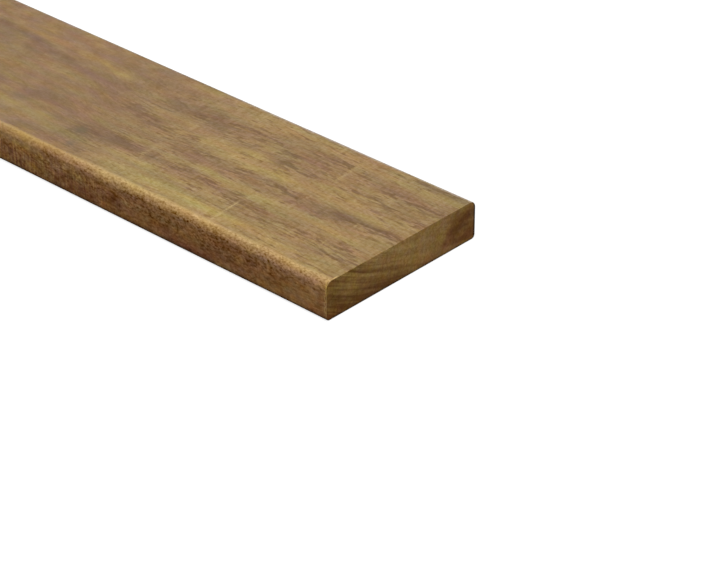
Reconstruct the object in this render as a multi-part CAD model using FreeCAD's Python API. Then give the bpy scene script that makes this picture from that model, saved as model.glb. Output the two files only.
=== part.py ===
"""Smooth hardwood decking board: one plank, planed on four sides and sawn square at both ends.

X runs along the board, Y across it and Z up. The origin is the centre of the underside, and the
walking face is on top. All sizes are in millimetres.
"""

import FreeCAD, Part
import math
import os

# The board
BOARD_LENGTH = 1850.0  # a stock length, from saw cut to saw cut
BOARD_WIDTH = 140.0
BOARD_THICKNESS = 28.0

# The planed section: the walking face has the rounder edges, which spare bare feet
TOP_ARRIS_RADIUS = 5.0
BOTTOM_ARRIS_RADIUS = 3.0

# The sawn ends: the sharp corner all round each saw cut is taken off
END_EDGE_BREAK = 0.5

NODE = "decking_board"
QUARTER_TURN = math.pi / 2
SAME_PLACE = 1e-6  # two coordinates this close are the same


def quarter_round(y_corner, z_corner, radius, start_angle):
    """The arc that replaces one corner of the section, drawn counter-clockwise from start_angle."""
    inward_y = math.copysign(radius, -y_corner)
    inward_z = radius if z_corner == 0 else -radius
    centre = FreeCAD.Vector(-BOARD_LENGTH / 2, y_corner + inward_y, z_corner + inward_z)

    def on_arc(share):
        angle = start_angle + share * QUARTER_TURN
        return centre + FreeCAD.Vector(0, math.cos(angle) * radius, math.sin(angle) * radius)

    return Part.Arc(on_arc(0), on_arc(0.5), on_arc(1)).toShape()


def planed_section():
    """The board's cross-section at its -X end: four quarter rounds joined by the flat faces."""
    side = BOARD_WIDTH / 2
    rounds = [
        quarter_round(side, 0, BOTTOM_ARRIS_RADIUS, -QUARTER_TURN),
        quarter_round(side, BOARD_THICKNESS, TOP_ARRIS_RADIUS, 0),
        quarter_round(-side, BOARD_THICKNESS, TOP_ARRIS_RADIUS, QUARTER_TURN),
        quarter_round(-side, 0, BOTTOM_ARRIS_RADIUS, 2 * QUARTER_TURN),
    ]
    outline = []
    for this_round, next_round in zip(rounds, rounds[1:] + rounds[:1]):
        flat = Part.LineSegment(this_round.lastVertex().Point, next_round.firstVertex().Point)
        outline += [this_round, flat.toShape()]
    return Part.Face(Part.Wire(outline))


def break_end_edges(plank):
    """Chamfers every edge that lies in one of the two saw cuts."""
    end_edges = [edge for edge in plank.Edges if edge.BoundBox.XLength < SAME_PLACE]
    return plank.makeChamfer(END_EDGE_BREAK, end_edges)


def decking_board():
    """The whole plank: the planed section carried along the board, then eased at its two ends."""
    plank = planed_section().extrude(FreeCAD.Vector(BOARD_LENGTH, 0, 0))
    return break_end_edges(plank)


def main():
    os.makedirs("parts", exist_ok=True)
    board = decking_board()
    board.exportStep(f"parts/{NODE}.step")
    box = board.BoundBox
    print(f"{NODE}: {box.XLength:.1f} x {box.YLength:.1f} x {box.ZLength:.1f} mm, "
          f"{len(board.Faces)} faces, {board.Volume / 1e6:.4f} litres, valid {board.isValid()}")


main()
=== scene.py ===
# %% [markdown]
# # A hardwood decking board
# One plank of oiled hardwood, planed on four sides and sawn square at both ends, lies on a white
# floor. The construction comes ready made as a fixed frame. This lesson gives the plank its fine
# surface: soft arrises, scuffs, growth rings, streaks along the grain and the darker sawn end.

# %% Load the frame
import math

import bpy
import numpy as np
from mathutils import Matrix, Vector


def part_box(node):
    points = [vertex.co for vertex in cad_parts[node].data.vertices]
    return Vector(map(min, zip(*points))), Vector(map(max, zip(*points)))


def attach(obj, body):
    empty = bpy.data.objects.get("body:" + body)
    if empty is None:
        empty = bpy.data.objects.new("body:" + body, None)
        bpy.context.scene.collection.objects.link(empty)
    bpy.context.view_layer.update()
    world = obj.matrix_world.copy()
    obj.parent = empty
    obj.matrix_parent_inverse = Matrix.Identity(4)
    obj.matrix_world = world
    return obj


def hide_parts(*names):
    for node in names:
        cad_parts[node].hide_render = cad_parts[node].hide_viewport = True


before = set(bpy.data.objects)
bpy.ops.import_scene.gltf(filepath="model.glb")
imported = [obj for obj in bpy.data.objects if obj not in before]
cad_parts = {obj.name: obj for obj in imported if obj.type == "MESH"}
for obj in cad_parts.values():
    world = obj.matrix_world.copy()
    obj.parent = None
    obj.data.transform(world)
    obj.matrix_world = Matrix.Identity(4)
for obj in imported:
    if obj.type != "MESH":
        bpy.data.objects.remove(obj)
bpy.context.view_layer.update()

MM = 0.001  # a millimetre in Blender's metres
NODE = "decking_board"
low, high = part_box(NODE)
LENGTH, WIDTH, THICKNESS = (high - low) / MM
print(f"board {LENGTH:.1f} x {WIDTH:.1f} x {THICKNESS:.1f} mm")

# %% [markdown]
# ## The camera
# A photograph fixes its camera by what it shows: the directions of the edges give the angles, and the
# way they run together gives the focal length. One corner of the board that is easy to see, the lowest
# one of the sawn end, then ties the picture to the model. So the camera is measured, not moved by eye.

# %% Place the camera
PICTURE_WIDTH, PICTURE_HEIGHT = 728, 564  # pixels
CORNER_PIXEL = (326.53, 322.14)  # the lowest corner of the sawn end, in the picture
FOCAL_PIXELS = 2692.0
CAMERA_AZIMUTH = math.radians(42.64)
CAMERA_ELEVATION = math.radians(31.346)
CORNER_DISTANCE = 1.6576  # metres along the line of sight
SENSOR_WIDTH = 36.0  # millimetres


def direction(azimuth, elevation):
    """The unit vector towards something seen at these angles: azimuth 0 is -Y, and 90 degrees is +X."""
    level = math.cos(elevation)
    return Vector((math.sin(azimuth) * level, -math.cos(azimuth) * level, math.sin(elevation)))


def place_camera(corner):
    """Backs the camera off from the corner along its line of sight, then slides it to the corner's pixel."""
    back = direction(CAMERA_AZIMUTH, CAMERA_ELEVATION)
    right = Vector((math.cos(CAMERA_AZIMUTH), math.sin(CAMERA_AZIMUTH), 0))
    up = back.cross(right)
    metres_per_pixel = CORNER_DISTANCE / FOCAL_PIXELS
    slide_right = (PICTURE_WIDTH / 2 - CORNER_PIXEL[0]) * metres_per_pixel
    slide_up = (CORNER_PIXEL[1] - PICTURE_HEIGHT / 2) * metres_per_pixel
    spot = corner + back * CORNER_DISTANCE + right * slide_right + up * slide_up
    lens = bpy.data.cameras.new("camera")
    lens.sensor_width = SENSOR_WIDTH
    lens.lens = FOCAL_PIXELS * SENSOR_WIDTH / PICTURE_WIDTH
    camera = bpy.data.objects.new("camera", lens)
    camera.matrix_world = Matrix.Translation(spot) @ Matrix((right, up, back)).transposed().to_4x4()
    bpy.context.scene.collection.objects.link(camera)
    bpy.context.scene.camera = camera
    return camera


camera = place_camera(Vector((high.x, low.y, low.z)))
bpy.context.scene.view_settings.view_transform = "Standard"
print(f"camera lens {camera.data.lens:.1f} mm at {[round(c, 3) for c in camera.location]}")

# %% [markdown]
# ## Shader maths in Python
# A material is a web of nodes, and wood needs many. Wrapping one socket in a small class lets the
# lines below read as sums: each operator adds a Math node, and one method adds any other node, with its
# settings first and then the values or links of its sockets.

# %% A socket that can be added and multiplied
class Shade:
    """One output socket of a node tree. Sums of sockets and numbers become Math nodes."""

    def __init__(self, tree, socket=None):
        self.tree = tree
        self.socket = socket

    def node(self, kind, settings=None, inputs=None, output=0):
        """Adds a node: first its settings, then a value or a link for each socket. Gives one output."""
        made = self.tree.nodes.new(kind)
        for name, setting in (settings or {}).items():
            if name == "stops":
                self.set_stops(made.color_ramp, setting)
            else:
                setattr(made, name, setting)
        for name, value in (inputs or {}).items():
            if isinstance(value, Shade):
                self.tree.links.new(value.socket, made.inputs[name])
            else:
                made.inputs[name].default_value = value
        return Shade(self.tree, made.outputs[output] if made.outputs else None)

    @staticmethod
    def set_stops(ramp, stops):
        """Gives a colour ramp its stops, each a place from 0 to 1 and a colour."""
        while len(ramp.elements) < len(stops):
            ramp.elements.new(1.0)
        for element, (place, colour) in zip(ramp.elements, stops):
            element.position = place
            element.color = (*colour, 1.0)

    def maths(self, operation, *values):
        """A Math node on these sockets and numbers."""
        return self.node("ShaderNodeMath", {"operation": operation}, dict(enumerate(values)))

    def vector_maths(self, operation, inputs, output=0):
        """A Vector Math node on these inputs."""
        return self.node("ShaderNodeVectorMath", {"operation": operation}, inputs, output)

    def __add__(self, other):
        return self.maths("ADD", self, other)

    def __sub__(self, other):
        return self.maths("SUBTRACT", self, other)

    def __rsub__(self, other):
        return self.maths("SUBTRACT", other, self)

    def __mul__(self, other):
        return self.maths("MULTIPLY", self, other)

    __radd__ = __add__
    __rmul__ = __mul__

    def larger(self, other):
        """The larger of two values at every place."""
        return self.maths("MAXIMUM", self, other)

    def step(self, start, stop):
        """0 up to start, 1 from stop on, and a smooth S between. With start above stop it falls."""
        ends = {"Value": self, "From Min": start, "From Max": stop}
        return self.node("ShaderNodeMapRange", {"interpolation_type": "SMOOTHSTEP"}, ends)

    def mix(self, first, second):
        """The first colour where this socket is 0, the second where it is 1."""
        ends = {0: self, 6: first, 7: second}
        return self.node("ShaderNodeMix", {"data_type": "RGBA"}, ends, output=2)

    def ramp(self, *stops):
        """A colour that runs through these stops, each a place from -1 to 1 and a colour."""
        places = [((place + 1) / 2, colour) for place, colour in stops]
        return self.node("ShaderNodeValToRGB", {"stops": places}, {0: self * 0.5 + 0.5})

    def shift(self, colour, shares):
        """The colour times one plus this socket times the shares of red, green and blue."""
        change = self.vector_maths("SCALE", {0: shares, "Scale": self})
        return self.vector_maths("MULTIPLY_ADD", {0: colour, 1: change, 2: colour})

    def parts(self):
        """The x, y and z of a vector."""
        split = self.node("ShaderNodeSeparateXYZ", inputs={0: self}).socket.node
        return [Shade(self.tree, socket) for socket in split.outputs]

    def distance(self, point):
        """How far a place lies from a point."""
        return self.vector_maths("DISTANCE", {0: self, 1: point}, output="Value")

    def moved(self, shift, scale):
        """A vector scaled, then shifted."""
        return self.node("ShaderNodeMapping", inputs={"Vector": self, "Location": shift, "Scale": scale})

    def noise(self, cell, seed, detail=2.0, roughness=0.5):
        """Noise about 0, mostly within a half, whose grains measure cell along x, y and z."""
        mapped = self.moved((seed * 17.3, seed * 7.9, seed * 3.1), [1 / side for side in cell])
        plain = self.node("ShaderNodeTexNoise", inputs={
            "Vector": mapped, "Scale": 1.0, "Detail": detail, "Roughness": roughness})
        return plain * 2.0 - 1.0


def new_material(name):
    """An empty material, and a first Shade to grow its nodes from."""
    material = bpy.data.materials.new(name)
    material.use_nodes = True
    material.node_tree.nodes.clear()
    return material, Shade(material.node_tree)


print("sockets can now be added, subtracted, multiplied and mixed")

# %% [markdown]
# ## Floor and light
# Stock is shown on plain white. A wide soft sun stands high over the camera's shoulder, and an even
# sky fills in, so that together they light a level face just as bright as its colour is written.
# The floor is white to the eye and in reflections, but it throws back little light: the board's lower
# edges stay as dark as they are on the real one. Its soft shadow still falls on the floor.

# %% Make the floor, the sky and the sun
SKY_SHARE = 0.35  # of the light on a level face; the sun gives the rest
SUN_AZIMUTH = math.radians(45)
SUN_ELEVATION = math.radians(70)
SUN_ANGLE = math.radians(40)
FLOOR_HALF = 20.0  # metres
FLOOR_DROP = 0.05 * MM  # keeps the floor and the underside apart
FLOOR_BOUNCE = (0.15, 0.15, 0.15, 1.0)
FLOOR_GLOW = 0.82  # of the floor's white; the rest of it takes the shadow
FLOOR_SHADED = (0.25, 0.25, 0.25, 1.0)
WHITE = (1.0, 1.0, 1.0, 1.0)


def seen_directly(shade):
    """1 for a ray from the camera, in a reflection or through glass, 0 for light that spreads about."""
    camera_ray, glossy_ray, clear_ray = [
        shade.node("ShaderNodeLightPath", output=name)
        for name in ("Is Camera Ray", "Is Glossy Ray", "Is Transmission Ray")]
    return camera_ray.larger(glossy_ray).larger(clear_ray)


def floor_material():
    """White and softly shadowed where it is seen, dull where it only throws light back."""
    material, shade = new_material("white_floor")
    dull = shade.node("ShaderNodeBsdfDiffuse", inputs={"Color": FLOOR_BOUNCE})
    white = shade.node("ShaderNodeBsdfDiffuse", inputs={"Color": FLOOR_SHADED})
    glow = shade.node("ShaderNodeEmission", inputs={"Color": WHITE, "Strength": FLOOR_GLOW})
    lifted = shade.node("ShaderNodeAddShader", inputs={0: white, 1: glow})
    either = shade.node("ShaderNodeMixShader", inputs={0: seen_directly(shade), 1: dull, 2: lifted})
    shade.node("ShaderNodeOutputMaterial", inputs={"Surface": either})
    return material


def make_floor():
    """A level square, centred under the board."""
    corners = np.array([(-1, -1, 0), (1, -1, 0), (1, 1, 0), (-1, 1, 0)]) * FLOOR_HALF
    mesh = bpy.data.meshes.new("floor")
    mesh.from_pydata((corners - (0, 0, FLOOR_DROP)).tolist(), [], [(0, 1, 2, 3)])
    mesh.materials.append(floor_material())
    floor = bpy.data.objects.new("floor", mesh)
    bpy.context.scene.collection.objects.link(floor)


def light_sky():
    """An even sky: white where it is seen, and a share of the light elsewhere."""
    world = bpy.data.worlds.new("sky")
    world.use_nodes = True
    world.node_tree.nodes.clear()
    shade = Shade(world.node_tree)
    fill = shade.node("ShaderNodeBackground", inputs={"Color": WHITE, "Strength": SKY_SHARE})
    plain = shade.node("ShaderNodeBackground", inputs={"Color": WHITE, "Strength": 1.0})
    either = shade.node("ShaderNodeMixShader", inputs={0: seen_directly(shade), 1: fill, 2: plain})
    shade.node("ShaderNodeOutputWorld", inputs={"Surface": either})
    bpy.context.scene.world = world


def light_sun():
    """A level white face in this sun and the sky shows as white: the two shares add up to one."""
    lamp = bpy.data.lights.new("sun", "SUN")
    lamp.angle = SUN_ANGLE
    lamp.energy = math.pi * (1 - SKY_SHARE) / math.sin(SUN_ELEVATION)
    sun = bpy.data.objects.new("sun", lamp)
    sun.rotation_euler = direction(SUN_AZIMUTH, SUN_ELEVATION).to_track_quat("Z", "Y").to_euler()
    bpy.context.scene.collection.objects.link(sun)
    return lamp


make_floor()
light_sky()
print(f"sun {light_sun().energy:.2f} W/m2 and sky {SKY_SHARE}")

# %% [markdown]
# ## The planed section
# The planer's cutters leave two flats, two straight sides and four rounded arrises, rounder on the
# walking face. A box with a Bevel modifier would come close, but a section worked out point by point
# can be closer set round the arrises, and its points are the very ones that close the sawn ends.
# So the section is a grid of columns and rows, and the ring round it is that grid's own border.

# %% Work out the section
TOP_ARRIS = 5.0  # millimetres, as all sizes of the board from here on
BOTTOM_ARRIS = 3.0
ARRIS_STEPS = 8
FLAT_STEPS = 32  # from an arris to the middle of the board
SIDE_ROWS = 13
HOLD = 0.4  # a narrow strip beside each arris keeps the flats flat


def arris_cut(inset, radius):
    """How deep a round arris cuts a face, at an inset from the side: r - sqrt(r^2 - (r - inset)^2)."""
    reach = radius - np.minimum(inset, radius)
    return radius - np.sqrt(radius**2 - reach**2)


def section_grid():
    """Columns set by the cosine of the arris's angle and then evenly, rows evenly from face to face."""
    turn = np.linspace(0, np.pi / 2, ARRIS_STEPS + 1)
    round_part = TOP_ARRIS * (1 - np.cos(turn))
    flat_part = np.linspace(TOP_ARRIS + HOLD, WIDTH / 2, FLAT_STEPS)
    near_half = np.concatenate([round_part, flat_part])
    across = np.concatenate([near_half, WIDTH - near_half[-2::-1]])
    inset = np.minimum(across, WIDTH - across)
    under = arris_cut(inset, BOTTOM_ARRIS)
    over = THICKNESS - arris_cut(inset, TOP_ARRIS)
    hold = HOLD / THICKNESS
    share = np.concatenate([[0], np.linspace(hold, 1 - hold, SIDE_ROWS - 2), [1]])
    height = under[:, None] + (over - under)[:, None] * share
    return np.broadcast_to(across[:, None], height.shape), height


def grid_border(columns, rows):
    """Column and row numbers once round the grid: along the underside, up, back over the top, down."""
    column = np.concatenate([np.arange(columns), np.full(rows - 1, columns - 1),
                             np.arange(columns - 2, -1, -1), np.zeros(rows - 2, int)])
    row = np.concatenate([np.zeros(columns, int), np.arange(1, rows),
                          np.full(columns - 1, rows - 1), np.arange(rows - 2, 0, -1)])
    return column, row


def outward(across, height):
    """Unit vectors out of the section: from its inner core, which is all that is not arris, to the point."""
    radius = np.where(height > THICKNESS / 2, TOP_ARRIS, BOTTOM_ARRIS)
    away_y = across - np.clip(across, radius, WIDTH - radius)
    away_z = height - np.clip(height, BOTTOM_ARRIS, THICKNESS - TOP_ARRIS)
    reach = np.hypot(away_y, away_z)
    return away_y / reach, away_z / reach


grid_y, grid_z = section_grid()
border = grid_border(*grid_y.shape)
ring_y, ring_z = grid_y[border], grid_z[border]
out_y, out_z = outward(ring_y, ring_z)
lean = np.arccos(np.clip(out_z, -1, 1)) / (np.pi / 2)  # 0 faces up, 1 sideways, 2 down
print(f"section of {grid_y.shape[0]} columns and {grid_y.shape[1]} rows, {ring_y.size} points round")

# %% [markdown]
# ## Streaks
# The grain of a board runs in dark and light streaks, some of them olive and some russet. They follow
# the surface at a scale of millimetres, so they are worked out for every point of the mesh as whole
# arrays, and the material reads them as attributes. The streaks that show most are listed one by one,
# as a grainer would draw them. The rest of the board gets streaks of the same kind from a seeded run of
# chance.

# %% Place the streaks
# from and to along the board (from the sawn end), across it there (from the near side), half width,
# tone (dark below 0, light above) and tint (olive below 0, russet above)
SHOWN_STREAKS = [
    (-200, -120, 63, 66, 4.5, -0.55, 0.3),
    (-125, -80, 66, 66, 5.0, -0.7, 0.2),
    (-90, -40, 61, 66, 5.0, -1.0, 0.2),
    (-58, 5, 66, 70, 4.0, -1.2, 0.1),
    (-265, -225, 37, 38, 9.0, -0.9, -0.1),
    (-235, -195, 39, 38, 5.5, -1.1, 0.1),
    (-205, -140, 39, 40, 3.0, -0.65, 0.0),
    (-150, -80, 39, 36, 3.5, -0.6, 0.3),
    (-110, -75, 31, 30, 3.0, -0.45, 0.0),
    (-75, 5, 37, 34, 4.0, -0.55, 0.5),
    (-35, 5, 25, 28, 2.5, -0.8, 0.0),
    (-65, -5, 16, 15, 2.5, -0.35, 0.1),
    (-245, -180, 102, 105, 7.0, -0.9, -0.1),
    (-185, -125, 108, 108, 5.0, -0.35, -0.1),
    (-135, -95, 103, 106, 4.0, -0.8, 0.3),
    (-140, -90, 91, 92, 4.0, -0.8, 0.3),
    (-60, 5, 112, 108, 6.0, -0.6, 0.3),
    (-45, 5, 85, 92, 3.0, -0.5, 0.0),
    (-195, -165, 57, 55, 4.5, -0.7, 0.3),
    (-160, -75, 58, 58, 3.5, -0.35, 0.2),
    (-75, -35, 57, 60, 3.5, -0.3, 0.1),
    (-262, -222, 79, 75, 4.5, -0.95, 0.1),
    (-330, -270, 47, 52, 7.0, -0.8, 0.1),
    (-385, -290, 103, 90, 3.5, -0.5, -0.1),
    (-308, -272, 92, 98, 8.0, -0.5, 0.2),
    (-310, -230, 13, 12, 2.5, -0.9, 0.1),
    (-420, -330, 105, 97, 4.0, -0.3, -0.3),
    (-430, -360, 107, 105, 5.0, -0.4, 0.1),
    (-330, -240, 122, 111, 4.0, -0.35, 0.2),
    (-185, -90, 74, 74, 5.0, 0.75, -0.4),
    (-80, -10, 74, 76, 3.5, 0.35, -0.2),
    (-190, 5, 50, 48, 4.5, 0.7, -0.3),
    (-115, -75, 44, 43, 3.0, 0.4, -0.6),
    (-345, -100, 25, 18, 9.0, 0.5, -0.6),
    (-350, -275, 30, 29, 5.0, 0.5, -0.3),
    (-225, -185, 29, 28, 4.0, 0.6, -0.5),
    (-270, -238, 27, 23, 6.0, -0.8, -0.4),
    (-225, -150, 123, 123, 6.0, 0.6, -0.2),
    (-85, -5, 124, 124, 4.0, 0.5, -0.3),
    (-390, -300, 49, 48, 6.0, -0.35, 0.1),
    (-65, -35, 101, 101, 3.0, 0.4, -0.3),
    (-75, 5, 97, 97, 5.0, -0.35, 0.0),
    (-230, -150, 93, 81, 5.0, 0.5, -0.1),
    (-320, -285, 110, 104, 3.5, 0.5, -0.1),
    (-255, -220, 89, 88, 3.5, 0.6, -0.2),
    (-250, -220, 58, 60, 5.0, 0.2, -0.3),
    (-250, -220, 130, 131, 4.0, 0.6, -0.5),
    (-120, -80, 126, 128, 8.0, 0.0, 0.8),
    (-300, -262, 60, 46, 5.0, 0.35, 1.4),
    (-300, -252, 80, 77, 6.0, -0.45, 0.2),
    (-430, -280, 121, 119, 12.0, 0.5, 0.5),
    (-125, -85, 118, 118, 4.0, -0.5, 0.3),
    (-160, -130, 88, 88, 4.0, 0.4, -0.2),
    (-215, -185, 99, 99, 4.0, -0.4, 0.0),
    (-264, -252, 34, 32, 5.0, -0.6, -0.5),
    (-70, 10, 132, 133, 4.0, -0.5, -1.4),
    (-40, 10, 133, 135, 3.5, -1.2, -0.4),
    (-215, -110, 132, 132, 3.5, 0.5, 0.0),
    (-235, 10, 15, 14, 6.0, 0.6, -0.3),
    (-225, -95, 12, 12, 5.0, 0.35, -0.2),
]
# the same for the near side, up from the underside
SIDE_STREAKS = [
    (-262, -240, 24, 20, 5.0, -0.5, -0.2),
    (-206, -182, 15, 14, 4.0, -0.6, 0.3),
    (-180, -160, 22, 22, 2.5, -0.5, 0.2),
    (-142, -118, 22, 21, 2.5, -0.1, 0.2),
    (-235, -60, 11, 11, 3.0, -0.35, 0.2),
    (-102, -58, 20, 20, 3.0, -0.6, 0.3),
    (-72, -56, 17, 15, 3.0, -0.5, 0.1),
    (-142, -98, 4, 4, 2.0, -1.0, 0.5),
    (-182, -100, 7, 7, 3.0, 0.2, 0.5),
    (-25, 5, 16, 16, 9.0, 0.25, 0.3),
    (-20, 5, 3, 3, 5.0, 0.25, 1.3),
    (-72, -48, 2, 2, 3.0, -0.6, 0.2),
    (-45, 5, 24, 24, 3.5, 0.4, -0.1),
    (-212, -188, 26, 26, 3.0, 0.5, 0.0),
    (-310, -264, 22, 23, 3.5, 0.7, -0.6),
    (-145, -75, 26, 26, 2.0, -0.5, 0.0),
    (-75, 5, 8, 8, 4.0, 0.2, -0.2),
    (-140, -80, 6, 6, 4.0, -0.4, 0.2),
    (-310, -230, 8, 8, 5.0, -0.3, 0.0),
    (-310, -235, 18, 18, 3.0, 0.4, 0.0),
    (-242, -224, 20, 19, 3.5, 0.4, -0.5),
]
# the same for the sawn end, along it from the near side and up from the underside
END_STREAKS = [
    (107, 122, 7, 10, 3.5, -0.2, 0.7),
    (107, 125, 5, 29, 3.5, -0.6, 0.2),
    (114, 134, 12, 18, 5.0, -1.2, 0.4),
    (116, 146, 17, 22, 6.0, -0.6, 0.2),
    (128, 148, 12, 12, 9.0, -0.6, 0.2),
    (116, 150, 5, 4, 5.0, -1.1, 0.8),
    (90, 114, 4, 5, 4.0, -0.35, 0.5),
    (58, 112, 24, 25, 5.0, 0.35, 0.0),
    (-5, 12, 2, 2, 5.0, 0.1, 1.4),
    (-8, 30, 15, 13, 12.0, 0.35, -0.2),
    (-5, 68, 2, 3, 3.0, -0.25, 0.2),
    (70, 98, 8, 5, 4.0, 0.3, 0.3),
]
SHOWN_START = -430.0  # the photograph shows the board from here to its sawn end
CHANCE_SEED = 12
TOP_CHANCE_STREAKS, UNDER_CHANCE_STREAKS = 130, 170
CHANCE_HALF_LENGTH, CHANCE_HALF_WIDTH = (25, 110), (2.5, 6.5)
CHANCE_MARGIN = 4  # from the long sides
CHANCE_DRIFT = 3  # how far a streak runs sideways
CHANCE_TONE, CHANCE_TINT = (0.4, 1.1), 0.3
DARK_RUSSET = 0.2  # how much more russet a dark streak is than a light one
STREAK_WANDER = 0.9
WANDER_WAVES = (37, 13), (17, 29)  # along and across the board


def chance_streaks(chance, count, start, stop):
    """Streaks like the placed ones on the walking face: long and narrow, a little oblique, dark or light."""
    centre = chance.uniform(start, stop, count)
    half_length = chance.uniform(*CHANCE_HALF_LENGTH, count)
    across = chance.uniform(CHANCE_MARGIN, WIDTH - CHANCE_MARGIN, count)
    drift = chance.normal(0, CHANCE_DRIFT, count)
    half_width = chance.uniform(*CHANCE_HALF_WIDTH, count)
    tone = chance.uniform(*CHANCE_TONE, count) * chance.choice([-1, 1], count)
    tint = chance.normal(0, CHANCE_TINT, count) - DARK_RUSSET * tone
    return np.stack([centre - half_length, centre + half_length, across - drift, across + drift,
                     half_width, tone, tint], axis=1)


def streak_sums(along, across, streaks):
    """Sums the streaks' tones and tints, each exp(-(gap / half width)^2) across times exp(-share^6) along,
    where the gap is from the streak's wandering middle line and the share runs from -1 to 1 along it."""
    (long_x, long_y), (short_x, short_y) = WANDER_WAVES
    waves = np.sin(along / long_x + across / long_y) * np.sin(along / short_x - across / short_y)
    across = across + STREAK_WANDER * waves
    sums = np.zeros((2, *np.broadcast_shapes(along.shape, across.shape)))
    for start, stop, from_y, to_y, half_width, tone, tint in streaks:
        share = (2 * along - start - stop) / (stop - start)
        middle = (from_y + to_y) / 2 + (to_y - from_y) / 2 * np.clip(share, -1, 1)
        streak = np.exp(-((across - middle) / half_width) ** 2) * np.exp(-share**6)
        sums += np.array((tone, tint))[:, None, None] * streak
    return sums


print(f"{len(SHOWN_STREAKS) + len(SIDE_STREAKS) + len(END_STREAKS)} placed streaks")

# %% [markdown]
# ## Scuffs
# A decking board is handled roughly: laths in the stack, straps and other boards leave pale scuffs
# across the grain. Each is a thin line with soft ends, and its strength falls off to both sides like
# a bell. They could be painted on, but as numbers they serve twice: the mesh is dented where they
# run, and the material bleaches the wood there.

# %% Place the scuffs
# along the board at their near and far ends (from the sawn end), from and to across, half width, strength
SCUFFS = [
    (-201, -203, 8, 60, 4.5, 0.4),
    (-203, -206, 60, 108, 2.0, 0.35),
    (-107, -111, 1, 39, 0.9, 0.95),
    (-142, -144, 8, 36, 0.8, 0.4),
    (-141, -141, 64, 74, 0.8, 0.5),
    (-80, -84, 45, 92, 3.5, 0.3),
    (-83, -87, 92, 133, 1.8, 0.6),
    (-107, -109, 122, 138, 1.2, 0.5),
    (-159, -160, 112, 124, 1.0, 0.5),
    (-33, -36, 25, 40, 0.7, 0.8),
    (-34, -35, 58, 70, 0.7, 0.8),
    (-52, -54, 40, 58, 0.8, 0.3),
    (-16, -17, 38, 52, 0.8, 0.4),
    (-228, -226, 20, 30, 1.2, 0.3),
    (-118, -120, 58, 76, 3.5, 0.35),
]
SCUFF_FADE = 5.0


def scuff_strength(along, across, scuffs):
    """Sums the scuffs, each exp(-(gap / half width)^2) along the board between its two soft ends."""
    total = np.zeros(np.broadcast_shapes(along.shape, across.shape))
    for near_x, far_x, from_y, to_y, half_width, strength in scuffs:
        share = np.clip((across - from_y) / (to_y - from_y), 0, 1)
        gap = along - near_x - (far_x - near_x) * share
        ends = np.clip((across - from_y) / SCUFF_FADE, 0, 1) * np.clip((to_y - across) / SCUFF_FADE, 0, 1)
        total += strength * np.exp(-((gap / half_width) ** 2)) * ends
    return total


print(f"{len(SCUFFS)} scuffs")

# %% [markdown]
# ## The plank
# Carrying the section along the board gives the plank's long surfaces. The rings of points stand close
# together in the stretch that shows, closest where most scuffs lie, and further apart beyond. Real
# planed wood isn't quite flat: its hard growth bands stand a little proud, and a scuff is a shallow
# dent. A Displace modifier could give it that relief, but the points are at hand here, so each is
# pushed in by it, against the section's outward direction. The last ring at each end is drawn in by
# the small break that takes the sharp edge of the saw cut off.

# %% Work out the plank's points
END_BREAK = 0.25
CLOSE_START = -215.0  # most scuffs lie from here to the sawn end
CLOSE_STEP, SHOWN_STEP, FAR_STEP = 1.0, 3.0, 8.0
GRAIN_DEPTH = 0.06
SCUFF_DEPTH = 0.14
PITH_Y, PITH_Z = 217.0, 484.0  # the heart of the tree, far above the board and to one side
RING_SPACING = 3.4
SLOW_WAVE, QUICK_WAVE, CROSS_WAVE = 190, 61, 17  # by which the rings wander
QUICK_SHARE = 0.4


def stations():
    """Places along the board, from the far end to the sawn end at 0, closer where it shows more."""
    inner = END_BREAK + HOLD
    return np.concatenate([
        [-LENGTH, -LENGTH + END_BREAK],
        np.arange(-LENGTH + inner, SHOWN_START, FAR_STEP),
        np.arange(SHOWN_START, CLOSE_START, SHOWN_STEP),
        np.arange(CLOSE_START, -inner, CLOSE_STEP),
        [-inner, -END_BREAK, 0.0]])


def ring_radius(across, height):
    """The distance from the pith, which is constant round a growth ring."""
    return np.hypot(across - PITH_Y, height - PITH_Z)


def raised_grain(along, across, height):
    """A slow wave over the growth rings that wanders along the board, from 0 to 1."""
    quick = QUICK_SHARE * np.sin(along / QUICK_WAVE + across / CROSS_WAVE)
    rings = ring_radius(across, height) / RING_SPACING + np.sin(along / SLOW_WAVE) + quick
    return 0.5 + 0.5 * np.sin(2 * np.pi * rings)


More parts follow.
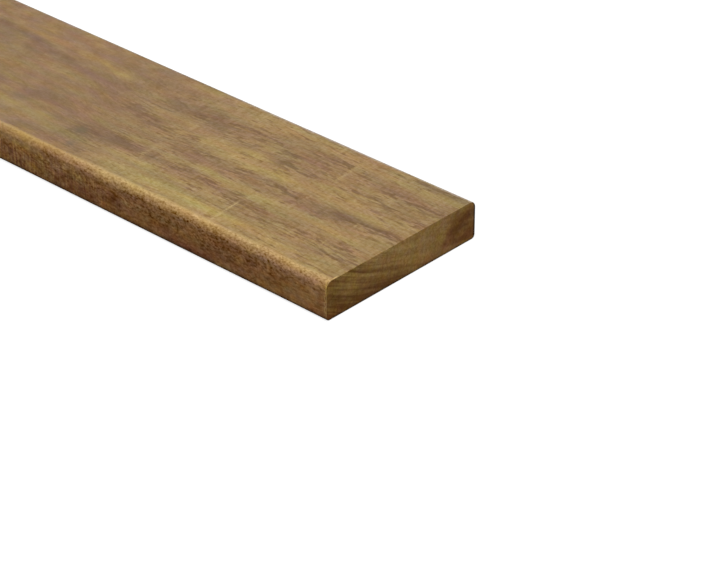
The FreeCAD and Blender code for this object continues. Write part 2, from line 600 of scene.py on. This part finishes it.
def plank_surface(along):
    """Every ring's points as arrays over stations and ring places, with streak, scuff and end shares."""
    chance = np.random.default_rng(CHANCE_SEED)
    top_streaks = SHOWN_STREAKS + chance_streaks(
        chance, TOP_CHANCE_STREAKS, -LENGTH, SHOWN_START).tolist()
    under_streaks = chance_streaks(chance, UNDER_CHANCE_STREAKS, -LENGTH, 0)
    # each face's streaks fade out over the arris, while the next face's fade in
    top_share = np.clip(1.4 - lean, 0, 1) * (lean < 0.95)
    side_share = np.clip(2 * lean - 0.6, 0, 1) * (lean < 1.5) * (ring_y < WIDTH / 2)
    under_share = np.clip(lean - 0.6, 0, 1) * (lean > 1.05)
    marks = (streak_sums(along, ring_y, top_streaks) * top_share
             + streak_sums(along, ring_z, SIDE_STREAKS) * side_share
             + streak_sums(along, ring_y, under_streaks) * under_share)
    marks[:, -1] = streak_sums(ring_y[None], ring_z, END_STREAKS)[:, 0]
    tone, tint = marks
    scuff = scuff_strength(along, ring_y, SCUFFS) * np.clip(1 - 2 * lean, 0, 1)
    end = np.zeros(tone.shape)
    end[[0, -1]] = 1
    dent = GRAIN_DEPTH * raised_grain(along, ring_y, ring_z) + SCUFF_DEPTH * scuff
    inward = np.where(end > 0, END_BREAK, dent)
    points = np.stack(np.broadcast_arrays(along, ring_y - out_y * inward, ring_z - out_z * inward), axis=-1)
    return points, tone, tint, scuff, end


along = stations()[:, None]
points, tone, tint, scuff, end = plank_surface(along)
print(f"{len(along)} rings of {ring_y.size} points")

# %% [markdown]
# ## Closing the plank
# The saw leaves a flat face at each end. Here it is the section's own grid: its border is the last
# ring of points, and the points inside are new, so the ends and the long surfaces share their edge
# and the mesh is closed. One face with many corners would close it as well, but only a grid of small
# faces can carry the stains of the wood, which are stored with the streaks and scuffs as attributes.

# %% Close the two ends and make the mesh
def end_grid(ring_start, inner_start):
    """Point numbers over the section's grid: a ring's own points on the border, new ones inside."""
    numbers = np.zeros(grid_y.shape, int)
    numbers[border] = ring_start + np.arange(ring_y.size)
    inside = grid_y[1:-1, 1:-1].shape
    numbers[1:-1, 1:-1] = inner_start + np.arange(inside[0] * inside[1]).reshape(inside)
    return numbers


def end_points(along_at):
    """The inner points of a sawn end: the grid drawn in towards its middle by the edge break."""
    drawn_y = WIDTH / 2 + (grid_y - WIDTH / 2) * (1 - 2 * END_BREAK / WIDTH)
    drawn_z = THICKNESS / 2 + (grid_z - THICKNESS / 2) * (1 - 2 * END_BREAK / THICKNESS)
    inner = np.stack([np.full(grid_y.shape, along_at), drawn_y, drawn_z], axis=-1)
    return inner[1:-1, 1:-1].reshape(-1, 3)


def quads(numbers):
    """Four-sided faces over a grid of point numbers."""
    corners = numbers[:-1, :-1], numbers[1:, :-1], numbers[1:, 1:], numbers[:-1, 1:]
    return np.stack(corners, axis=-1).reshape(-1, 4)


def store_marks(mesh, far_inner, sawn_inner):
    """Stores every mark as an attribute: the rings' values first, then those inside the two ends."""
    far_plain = np.zeros((2, len(far_inner)))
    sawn_marks = streak_sums(sawn_inner[None, :, 1], sawn_inner[:, 2], END_STREAKS)[:, 0]
    inner_tone, inner_tint = np.concatenate([far_plain, sawn_marks], axis=1)
    inner = np.zeros(len(inner_tone))
    fields = {"tone": (tone, inner_tone), "tint": (tint, inner_tint), "scuff": (scuff, inner),
              "end": (end, inner + 1), "lean": (np.broadcast_to(lean, tone.shape), inner + 1)}
    for name, (outside, inside) in fields.items():
        stored = mesh.attributes.new(name, "FLOAT", "POINT")
        filled = np.concatenate([outside.ravel(), inside])
        stored.data.foreach_set("value", filled.astype(np.float32))


def make_board():
    """Joins the long surfaces and both ends into one closed mesh that carries the marks."""
    rings, around = points.shape[:2]
    numbers = np.arange(rings * around).reshape(rings, around)
    closed = np.concatenate([numbers, numbers[:, :1]], axis=1)
    far_inner, sawn_inner = end_points(-LENGTH), end_points(0.0)
    far_end = end_grid(0, rings * around)
    sawn_end = end_grid((rings - 1) * around, rings * around + len(far_inner))
    faces = np.concatenate([quads(closed.T), quads(sawn_end), quads(far_end)[:, ::-1]])
    spots = np.concatenate([points.reshape(-1, 3), far_inner, sawn_inner])
    spots = spots * MM + np.array((high.x, low.y, low.z))
    mesh = bpy.data.meshes.new("planed_board")
    mesh.from_pydata(spots.tolist(), [], faces.tolist())
    smooth = np.arange(len(faces)) < (rings - 1) * around
    mesh.polygons.foreach_set("use_smooth", smooth)
    store_marks(mesh, far_inner, sawn_inner)
    mesh.update()
    board = bpy.data.objects.new("planed_board", mesh)
    bpy.context.scene.collection.objects.link(board)
    return board


board = make_board()
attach(board, "root")
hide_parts(NODE)
print(f"{len(board.data.polygons) * 2} triangles, tones from {tone.min():.2f} to {tone.max():.2f}")

# %% [markdown]
# ## The grain
# Wood is a solid with a grain, so its pattern is worked out in space, not painted on each face: growth
# rings are shells round the pith, long along the board and thin across it. The same rings then show as
# bands on the walking face and as sloping lines on the sawn end. Noise that is drawn out along the board
# stands for the fibres, short noise for the pores, and even noise for the blotches of oil. An image of
# wood would be quicker, but it repeats, and it never meets itself at the arrises as this grain does.

# %% Coordinates and noises of the grain
RING_WANDER = 4.0
GRAIN_WANDER = 3.0
GRAIN_DIP = 13.0
CRISP_PLACES = -330.0, -170.0  # between these the grain turns from soft to crisp


class Wood:
    """The sockets that every finish of the board shares: places in millimetres, grain and attributes."""

    def __init__(self, shade):
        self.shade = shade
        corner = Vector((high.x, low.y, low.z)) / MM
        self.plank = shade.node("ShaderNodeTexCoord", output="Object").moved(-corner, (1 / MM,) * 3)
        self.x, self.y, self.z = self.plank.parts()
        self.lean, self.sawn, self.tone, self.tint, self.scuff = [
            shade.node("ShaderNodeAttribute", {"attribute_name": name}, output="Fac")
            for name in ("lean", "end", "tone", "tint", "scuff")]
        self.radius, self.rings = self.ring_space()
        self.grain = self.grain_space()
        # each noise has the size of its grains in millimetres, and a seed of its own
        self.bands = self.rings.noise((260, 4.5, 70), 2)
        self.fibres = self.grain.noise((16, 1.3, 1.3), 3, detail=3.0, roughness=0.6)
        self.dashes = self.grain.noise((12, 2.2, 2.2), 12, detail=3.0, roughness=0.55)
        self.clouds = self.plank.noise((18, 9, 9), 16, detail=1.5)
        self.flecks = self.grain.noise((3, 1.6, 1.6), 5, detail=3.0, roughness=0.65)
        self.mottle = self.plank.noise((12, 9, 9), 6, detail=5.0, roughness=0.7)
        self.grit = self.plank.noise((1.8, 1.3, 1.3), 15, detail=2.0)
        self.hues = self.plank.noise((28, 7, 7), 7, detail=3.0)
        self.golds = self.grain.noise((22, 8, 8), 14, detail=1.5)
        self.blushes = self.plank.noise((7, 5, 5), 18, detail=1.5) * self.lean.step(0.4, 0.9)
        self.crisp = self.x.step(*CRISP_PLACES)

    def vector(self, x, y, z):
        """A vector made of three sockets or numbers."""
        return self.shade.node("ShaderNodeCombineXYZ", inputs={0: x, 1: y, 2: z})

    def ring_space(self):
        """The distance from the pith with a slow wander, and a place made of x, that distance and y."""
        radius = self.vector(0, self.y, self.z).distance((0, PITH_Y, PITH_Z))
        radius = radius + RING_WANDER * self.plank.noise((320, 60, 60), 1, detail=1.0)
        return radius, self.vector(self.x, radius, self.y)

    def grain_space(self):
        """The plank's own places, shifted sideways by a slow wander and, beside the knots, by a dip."""
        wander = GRAIN_WANDER * self.plank.noise((70, 25, 25), 11, detail=1.0)
        here = self.x.step(-325.0, -250.0) * self.x.step(-120.0, -230.0)
        dip = GRAIN_DIP * here * self.y.step(20.0, 60.0) * self.y.step(138.0, 95.0)
        return self.vector(self.x, self.y + wander + dip, self.z + wander)


print("grain runs along the board, with its pith at", (PITH_Y, PITH_Z))

# %% [markdown]
# ## The walking face
# The oiled face is golden brown, with dark and light streaks that the fibres fray into dashes. Broad
# changes of tone run through a colour ramp, because thick bands are yellower where they are lighter.
# Fine marks only darken or lighten, so they scale the ramp's colour instead. Two small grey knots are
# spots round a point, with a rim that noise makes ragged. The pale scuffs go on last.

# %% Colour the walking face
NEUTRAL = (0.74, 1.0, 2.2)  # shares of red, green and blue that darken without a change of hue
DULL_NEUTRAL = (0.8, 1.0, 1.45)  # the same where no sheen lies over the colour
RUSSET = (0.03, -0.035, 0.0)  # a tint of 1 turns the wood this far from olive to russet
GOLDEN = (0.04, 0.04, -0.42)  # where the oil is more golden: hardly lighter, with much less blue
SCUFFED = (0.50, 0.355, 0.145, 1)
KNOT_GREY = (0.14, 0.113, 0.066, 1)
KNOT_SHARE = 0.5
# from the sawn end, from the near side, and how far each reaches
KNOTS = [(-258, 33, 7.0), (-250, 16, 6.0)]


def knots(wood):
    """1 in the middle of each small knot, falling to 0 at its ragged rim."""
    ragged = 4 * wood.mottle + 5 * wood.flecks
    first, second = [(wood.plank.distance((x, y, THICKNESS)) + ragged).step(reach, 0.2 * reach)
                     for x, y, reach in KNOTS]
    return first.larger(second)


def walking_face(wood):
    """Dark and light streaks frayed by the fibres, flecked, warmed or cooled, and paler at the scuffs."""
    deeper = 0.35 * wood.x.step(-90.0, -280.0)
    swing = 1.1 * wood.tone + 0.5 + 4.8 * wood.dashes
    frayed = swing.step(-0.8, 0.8) - 0.7
    clouds = 0.6 * wood.clouds * (1 - wood.crisp)
    patchy = 0.4 + 1.2 * wood.clouds.step(-0.3, 0.3)
    streaked = 0.46 * wood.tone + frayed * patchy * (0.1 + 0.38 * wood.crisp)
    broad = streaked + 0.55 * wood.bands + clouds
    plain = (broad - deeper + 0.1).ramp(
        (-1, (0.188, 0.102, 0.047)), (-0.5, (0.231, 0.133, 0.0555)), (0, (0.285, 0.171, 0.064)),
        (0.5, (0.351, 0.222, 0.0725)), (1, (0.437, 0.286, 0.081)))
    hairlines = 0.25 * wood.plank.noise((1.9, 26, 26), 8, detail=2.0) * wood.crisp
    pores = wood.flecks * (0.31 + 0.32 * wood.crisp) + 0.4 * wood.mottle * (1 - wood.crisp)
    strokes = wood.fibres * (0.05 + 0.15 * wood.crisp) + frayed * patchy * (0.03 + 0.12 * wood.crisp)
    flecked = (pores + hairlines + strokes).shift(plain, NEUTRAL)
    tinted = (1.2 * wood.tint + 3.6 * wood.hues).shift(flecked, RUSSET)
    knotty = (KNOT_SHARE * knots(wood)).mix(tinted, KNOT_GREY)
    scuffed = (wood.scuff * (0.8 + 1.4 * wood.flecks + 0.9 * wood.mottle)).step(0.0, 1.2)
    return scuffed.mix(knotty, SCUFFED)


print("walking face: streaks, pores, tints and scuffs")

# %% [markdown]
# ## The arrises and the long sides
# Where the walking face turns down, the near arris is a thin line of lighter, golden wood with a painted
# highlight on it. Below it the gold thins out, grain by grain, into the dull brown of the side. How far a
# point leans over is known from the section, so a ramp over that lean colours the arris, lightest where it
# starts to turn, which is painted highlight, and noise added to the place of a boundary makes it ragged.
# On the side the blotches are as wide as they are high, with upright strokes that the planer left, and
# painted shade darkens the foot. The far arris carries a painted pale sheen, broken by pores, and beside
# the saw cut a thin strip of the near corner carries a painted highlight, with a painted glint on the arris
# above it.

# %% Colour the arrises and the sides
# painted shade at the foot of the long side
FOOT_SHADE_BROWN = (0.085, 0.036, 0.012, 1)
# painted highlight on the near corner beside the saw cut
CORNER_HIGHLIGHT = (0.64, 0.43, 0.15, 1)
# painted sheen on the far arris, duller away from the saw cut and paler near it
FAR_RIM_SHEEN = (0.328, 0.236, 0.155, 1)
FAR_PALE_SHEEN = (0.446, 0.352, 0.258, 1)


def near_arris(wood):
    """Golden wood with a painted highlight, brightest where the arris starts to turn, grainier lower down and
    near the saw cut.
    """
    # the ramp over the lean is partly painted highlight: lightest where the arris starts to turn
    gold_and_highlight = wood.lean.ramp(
        (0.0, (0.49, 0.32, 0.122)), (0.18, (0.48, 0.305, 0.115)), (0.36, (0.405, 0.245, 0.092)),
        (0.6, (0.375, 0.217, 0.09)), (1.0, (0.38, 0.203, 0.084)))
    rough = 0.5 + 0.5 * wood.crisp
    pores = wood.flecks * (0.7 + wood.lean.step(0.4, 0.9))
    speckle = 0.3 * wood.mottle + (0.9 * wood.grit + pores) * rough + 0.4 * wood.tone
    return (2.0 * wood.hues + wood.tint).shift(speckle.shift(gold_and_highlight, DULL_NEUTRAL), RUSSET)


def long_side(wood):
    """Mottled brown, with upright strokes far from the sawn end, fibres close to it, and a foot darkened by
    painted shade.
    """
    upright = 1.5 * wood.plank.noise((1.8, 30, 12), 9, detail=1.0) * wood.x.step(-150.0, -240.0)
    tone = 0.85 * wood.tone + 1.2 * wood.mottle + 0.4 * wood.bands + upright
    brown = tone.ramp((-1, (0.205, 0.081, 0.034)), (0, (0.331, 0.163, 0.059)), (1, (0.488, 0.275, 0.091)))
    close = wood.x.step(-70.0, -10.0)
    pores = wood.flecks * (1.25 + 1.0 * wood.z.step(8.0, 20.0)) * (1 - 0.5 * close)
    fine = pores + 0.4 * wood.mottle + 0.7 * wood.fibres * close
    hue = 1.2 * wood.tint + 3.4 * wood.hues + 3.0 * wood.blushes
    tinted = hue.shift(fine.shift(brown, DULL_NEUTRAL), RUSSET)
    # painted shade: darker towards the underside and over the lower arris
    foot = (wood.z + 2.5 * wood.mottle).step(6.0, 0.5).larger(wood.lean.step(1.1, 1.4))
    return (0.8 * foot).mix(tinted, FOOT_SHADE_BROWN)


def corner_highlight(wood):
    """Where a highlight is painted: 1 on a thin wavering strip of the near side just before the saw cut, and
    as a glint on the arris above it.
    """
    place = wood.x + 3.0 * wood.plank.noise((6, 6, 3), 17, detail=1.0)
    strip = place.step(-2.0, -1.4) * place.step(-0.5, -1.0) * wood.y.step(5.0, 2.5)
    above = wood.x.step(-1.4, -0.4) * wood.y.step(5.0, 7.5) * wood.y.step(12.5, 9.0)
    return (0.55 * strip * wood.z.step(1.0, 8.0)).larger(0.9 * above * wood.lean.step(0.4, 0.1))


def far_rim_sheen(wood):
    """A painted sheen on the far arris, pale near the saw cut and duller away from it, broken by pores."""
    rim = wood.x.step(-250.0, -170.0).mix(FAR_RIM_SHEEN, FAR_PALE_SHEEN)
    pores = 0.6 * wood.flecks + 0.6 * wood.grit + 0.5 * wood.mottle
    return pores.shift(rim, DULL_NEUTRAL)


def planed_faces(wood):
    """From the walking face over the golden near arris with its painted highlight, or the far one with its
    painted sheen, down the sides and under.
    """
    walking = walking_face(wood)
    narrower = 1.3 * wood.x.step(-210.0, -240.0)
    near = (wood.y + narrower + 1.5 * wood.mottle + 1.5 * wood.flecks + 2.5 * wood.grit).step(7.8, 4.6)
    colour = near.mix(walking, near_arris(wood))
    # where the painted sheen lies along the far arris
    far = (wood.y + wood.mottle).step(134.6, 136.4) * (wood.lean + 0.3 * wood.grit).step(0.65, 0.35)
    colour = far.mix(colour, far_rim_sheen(wood))
    down_side = (THICKNESS - wood.z + 5 * wood.mottle + 4 * wood.flecks + 5 * wood.grit).step(3.8, 12.8)
    # a painted highlight on the near corner beside the saw cut
    colour = corner_highlight(wood).mix(down_side.mix(colour, long_side(wood)), CORNER_HIGHLIGHT)
    return wood.lean.step(1.6, 1.95).mix(colour, walking)


print("arrises: gold near, pale far; sides: brown with a dark foot")

# %% [markdown]
# ## The sawn ends
# The saw cuts across the fibres, so an end drinks more oil and dries darker, and every growth ring shows
# as a sloping line. The rings were wide and light in some years and tight and dark in others: a short
# chart gives the tone by the distance from the pith, and noise in the ring's own space adds the lines
# between. A dark stain, placed with the streaks, sits by the far side.

# %% Colour the sawn ends
# distance from the pith and tone of the growth there
RING_CHART = [
    (462, 0.2), (475, 0.45), (478, 0.4), (484, 0.75), (490, 0.6), (495, 0.55), (497, 0.3), (499, -0.2),
    (501, 0.2), (503, 0.1), (505, -0.4), (507, -0.15), (510, -0.65), (513, -0.5), (517, -0.8), (521, -0.5),
    (526, -0.9), (530, -0.8)]
# painted shade at the foot of the sawn end
END_FOOT_SHADE = (0.055, 0.027, 0.012, 1)
# painted shade along the far edge of the sawn end
FAR_EDGE_SHADE = (0.02, 0.015, 0.012, 1)


def ring_tone(wood):
    """The tone of the growth ring by its distance from the pith."""
    start, stop = RING_CHART[0][0], RING_CHART[-1][0]
    middle, half = (start + stop) / 2, (stop - start) / 2
    stops = [((place - middle) / half, ((tone + 1) / 2,) * 3) for place, tone in RING_CHART]
    return ((wood.radius - middle) * (1 / half)).ramp(*stops) * 2.0 - 1.0


def sawn_end(wood):
    """Growth rings as sloping lines, clearer near the near side, with the placed stains over them."""
    lines = wood.rings.noise((400, 1.6, 35), 10, detail=3.0, roughness=0.6)
    broad = wood.rings.noise((400, 4.0, 90), 13, detail=1.0)
    clear = 0.4 + 1.9 * wood.y.step(90.0, 35.0) + 0.8 * wood.y.step(95.0, 120.0)
    stains = wood.tone * (1 + 1.2 * wood.mottle + 0.8 * lines)
    tone = stains + 1.2 * ring_tone(wood) + (0.65 * lines + 0.7 * broad) * clear + 0.25 * wood.mottle - 0.2
    face = tone.ramp((-1, (0.19, 0.088, 0.028)), (0, (0.318, 0.175, 0.057)), (1, (0.477, 0.295, 0.100)))
    flecked = (0.55 * wood.flecks + 0.3 * wood.grit + 0.2 * wood.mottle).shift(face, DULL_NEUTRAL)
    tinted = (2.0 * wood.tint + 3.5 * wood.hues).shift(flecked, RUSSET)
    # painted shade: darker towards the underside
    foot = (wood.z + 1.2 * wood.mottle).step(2.2, 0.3) * 0.7
    gilded = (0.4 * wood.y.step(50.0, 0.0)).shift(tinted, GOLDEN)
    footed = foot.mix(gilded, END_FOOT_SHADE)
    # painted shade: a near-black line along the far edge of the sawn end
    return (wood.y.step(137.4, 139.3) * 0.85).mix(footed, FAR_EDGE_SHADE)


print(f"sawn ends: {len(RING_CHART)} stops of growth")

# %% [markdown]
# ## One finish
# All faces share one material, as they share one piece of wood. The attribute that marks the saw cuts
# tells the two kinds of face apart, and between them lies the thin broken edge: a painted highlight
# lightens it on the near side and painted shade darkens it on the far one. A slow noise makes the oil
# more golden in some places, and on the sides and ends a finer one does too. Bare wood has hardly any
# gloss of its own, so only a thin, rough coat gives the walking face its dull sheen.

# %% Put the finish together
# painted highlight and painted shade on the broken edge of the sawn end
EDGE_HIGHLIGHT = (0.47, 0.31, 0.12, 1)
EDGE_SHADE = (0.12, 0.06, 0.025, 1)
BUMP_STRENGTH, BUMP_DEPTH = 0.5, 0.1 * MM
COAT_WEIGHT, COAT_ROUGHNESS = 0.56, 0.4
BARE_ROUGHNESS = 0.62


def hardwood():
    """The planed faces and the sawn ends in one material, with sheen on top and fine grain as bump."""
    material, shade = new_material("oiled_hardwood")
    wood = Wood(shade)
    colour = wood.sawn.step(0.5, 1.0).mix(planed_faces(wood), sawn_end(wood))
    edge = wood.sawn.step(0.05, 0.45) * wood.sawn.step(1.0, 0.8)
    # painted highlight on the near part of the end's broken edge
    edge_highlight_share = edge * wood.y.step(30.0, 6.0) * wood.z.step(-3.0, 15.0)
    colour = edge_highlight_share.mix(colour, EDGE_HIGHLIGHT)
    # painted shade on the far part of the end's broken edge
    colour = (edge * wood.y.step(40.0, 90.0) * 0.7).mix(colour, EDGE_SHADE)
    gold = wood.golds * (1.2 - 0.45 * wood.crisp) + wood.blushes - 0.03
    colour = gold.shift(colour, GOLDEN)
    height = 0.5 * wood.fibres + 0.5 * wood.flecks
    bump = shade.node("ShaderNodeBump", inputs={
        "Strength": BUMP_STRENGTH, "Distance": BUMP_DEPTH, "Height": height})
    sheen = wood.lean.step(0.6, 0.1) * (1 - wood.sawn) * wood.y.step(137.0, 134.0)
    skin = shade.node("ShaderNodeBsdfPrincipled", inputs={
        "Base Color": colour,
        "Roughness": BARE_ROUGHNESS + 0.15 * wood.flecks + 0.15 * wood.sawn,
        "Specular IOR Level": 0.0,
        "Coat Weight": COAT_WEIGHT * sheen,
        "Coat Roughness": COAT_ROUGHNESS,
        "Normal": bump})
    shade.node("ShaderNodeOutputMaterial", inputs={"Surface": skin})
    return material


board.data.materials.append(hardwood())
print(len(board.data.materials[0].node_tree.nodes), "nodes of wood")
